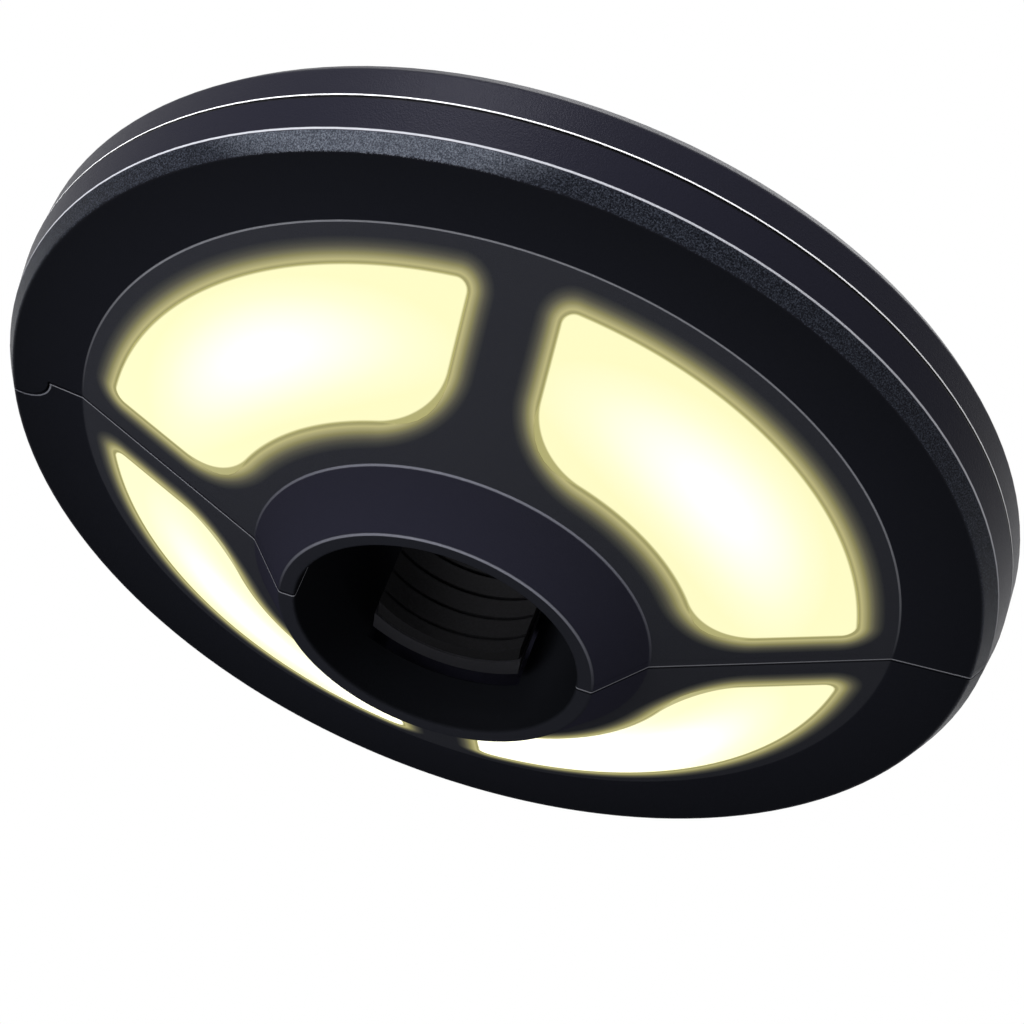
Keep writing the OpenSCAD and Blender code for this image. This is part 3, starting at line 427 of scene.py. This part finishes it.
# ---- Covers ----
# The upper shells, of the same ABS as the housings. They carry the latch, the button, the battery bays and
#  the trays of the hooks; they have no painted glow, and their only painted light is the highlight and shade
#  at the seam.
# Painted shade in the seam's gap and a painted highlight on the cover's lower edge
COVER_PAINTED_LINES = [("wall", SEAM_Z + 0.1, 0.2, "#020203", SEAM_Z - 1, 18.0, False),
               ("wall", SEAM_Z + 0.36, 0.18, "#f4f4f8", SEAM_Z - 1, 18.0, True)]
cover_abs = moulded_abs("spark_eroded_abs_cover", [(0.0, "#1d1d23"), (110.0, "#1a1a23")], COVER_PAINTED_LINES,
                        sheen=(0.14, 0.03), lit_face=False)
finish_with(cover_abs, "cover_near", "cover_far", "battery_door_near", "battery_door_far")

# ---- Batteries and contacts ----
# AA cells in plain shrink sleeves. Nickel-plated plates and conical springs of 0.6 mm wire press on their
# ends.
sleeve = plain_finish("shrink_sleeve", "#3b3d41", "#4b4d52", 2.5, (0.3, 0.45), stretch=(0.1, 1, 1))
nickel = plain_finish("nickel_plated_steel", "#b4b2aa", "#cfcdc6", 0.6, (0.2, 0.34), metallic=1.0)
finish_with(sleeve, "cells_near", "cells_far")
BAY_END, PLATE, PLATE_T, PLATE_CORNER, ROW_Z, ROWS = 27.75, 10.0, 0.4, 1.2, 17.75, (45.85, 60.65)
CONTACT_COIL_L, CONTACT_COIL_R, CONTACT_COIL_TIP_R, CONTACT_COIL_TURNS, COIL_GAP = 4.0, 4.2, 2.6, 4, 0.05
for side, sign in (("near", -1), ("far", 1)):
    plates = bmesh.new()
    for row, spring_end in zip(ROWS, (-1, 1)):
        for end in (-1, 1):
            place = Vector((end * (BAY_END - PLATE_T / 2), sign * row, ROW_Z)) / 1000
            shaped = Matrix.Diagonal((PLATE_T / 1000, PLATE / 1000, PLATE / 1000, 1))
            plate = bmesh.ops.create_cube(plates, size=1.0, matrix=Matrix.Translation(place) @ shaped)
            corners = [edge for edge in {e for v in plate["verts"] for e in v.link_edges}
                       if abs(edge.verts[0].co.x - edge.verts[1].co.x) > 1e-5]
            bmesh.ops.bevel(plates, geom=corners, offset=PLATE_CORNER / 1000, segments=4, affect="EDGES")
        coil = wound_spring("contact_coil_%s_%s" % (side, "inner" if spring_end < 0 else "outer"),
                            (spring_end * (BAY_END - PLATE_T - COIL_GAP), sign * row, ROW_Z),
                            (-spring_end, 0, 0), CONTACT_COIL_L, CONTACT_COIL_R, CONTACT_COIL_TURNS,
                            top_radius=CONTACT_COIL_TIP_R, material=nickel)
        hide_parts("contacts_" + side)
        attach(coil, side + "_half")
    plates = piece_from(plates, "contact_plates_" + side, nickel)
    plates.data.polygons.foreach_set("use_smooth", [False] * len(plates.data.polygons))
    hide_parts("contacts_" + side)
    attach(plates, side + "_half")

# ---- Hanging hooks ----
# Rod hooks of acetal that fold down flat into their trays.
acetal = plain_finish("black_acetal", "#141416", "#1c1c1f", 0.5, (0.32, 0.45), IOR=1.48)
finish_with(acetal, "hook_near", "hook_far")

# ---- Cover screws ----
# Cross-recess screws, sunk in the cover.
finish_with(zinc, "cover_screws_near", "cover_screws_far")

# ---- Floor and light ----
# A plain pale floor far below the light, soft lamps round it, and a world that the camera sees as white.
FLOOR_HALF, FLOOR_Z = 6.0, -0.85


def seen_by(tree, *rays):
    """One for the named kinds of ray and zero for the others."""
    kinds = add(tree, "LightPath").outputs
    shown = kinds[rays[0]]
    for ray in rays[1:]:
        shown = add(tree, "Math", {0: shown, 1: kinds[ray]}, operation="MAXIMUM").outputs[0]
    return shown


floor_shape = bmesh.new()
bmesh.ops.create_grid(floor_shape, x_segments=1, y_segments=1, size=FLOOR_HALF)
bmesh.ops.translate(floor_shape, verts=floor_shape.verts, vec=(0, 0, FLOOR_Z))
floor_paint, tree, mm = new_material("pale_floor")
shown = seen_by(tree, "Is Camera Ray", "Is Glossy Ray")
paint = add(tree, "BsdfDiffuse", {"Color": linear("#e6e6e4")}).outputs[0]
away = add(tree, "VectorMath", {0: mm}, operation="LENGTH").outputs["Value"]
lift = add(tree, "MapRange", {"Value": away, "From Min": 700.0, "From Max": 3500.0, "To Min": 0.42,
                              "To Max": 1.0}).outputs[0]
white = add(tree, "Emission", {"Color": (1, 1, 1, 1), "Strength": lift}).outputs[0]
lifted = add(tree, "AddShader", {0: paint, 1: white}).outputs[0]
surface = add(tree, "MixShader", {0: shown, 1: paint, 2: lifted}).outputs[0]
# From below, the floor doesn't hide the light
underside = add(tree, "NewGeometry").outputs["Backfacing"]
clear = add(tree, "BsdfTransparent").outputs[0]
surface = add(tree, "MixShader", {0: underside, 1: surface, 2: clear}).outputs[0]
tree.links.new(surface, add(tree, "OutputMaterial").inputs[0])
floor = piece_from(floor_shape, "floor", floor_paint)


def soft_lamp(name, bearing_deg, rise_deg, away, size, power):
    """A square lamp that faces the light from a bearing and an angle above the floor's plane."""
    lamp = bpy.data.objects.new(name, bpy.data.lights.new(name, "AREA"))
    lamp.data.size = size
    lamp.data.energy = power
    flat = math.cos(math.radians(rise_deg)) * away
    lamp.location = (flat * math.cos(math.radians(bearing_deg)), flat * math.sin(math.radians(bearing_deg)),
                     away * math.sin(math.radians(rise_deg)))
    lamp.rotation_euler = lamp.location.to_track_quat("Z", "Y").to_euler()
    bpy.context.scene.collection.objects.link(lamp)


soft_lamp("high_left", 243, 35, 1.3, 0.5, 19.0)
soft_lamp("low_left", 235, -20, 1.3, 0.5, 4.5)
soft_lamp("behind", 90, 12, 1.3, 0.5, 4.0)
soft_lamp("low_right", 343, -18, 1.3, 0.4, 1.8)
soft_lamp("below", 225, -40, 0.65, 0.3, 2.5)
soft_lamp("top", 70, 74, 1.15, 0.8, 4.0)

world = bpy.data.worlds.new("studio")
bpy.context.scene.world = world
world.use_nodes = True
tree = world.node_tree
tree.nodes.clear()
shown = seen_by(tree, "Is Camera Ray", "Is Glossy Ray", "Is Transmission Ray")
studio = add(tree, "Background", {"Color": (1, 1, 1, 1), "Strength": 0.32}).outputs[0]
backdrop = add(tree, "Background", {"Color": (1, 1, 1, 1), "Strength": 1.0}).outputs[0]
surface = add(tree, "MixShader", {0: shown, 1: studio, 2: backdrop}).outputs[0]
tree.links.new(surface, add(tree, "OutputWorld").inputs[0])
bpy.context.scene.view_settings.view_transform = "Standard"

bpy.context.view_layer.update()
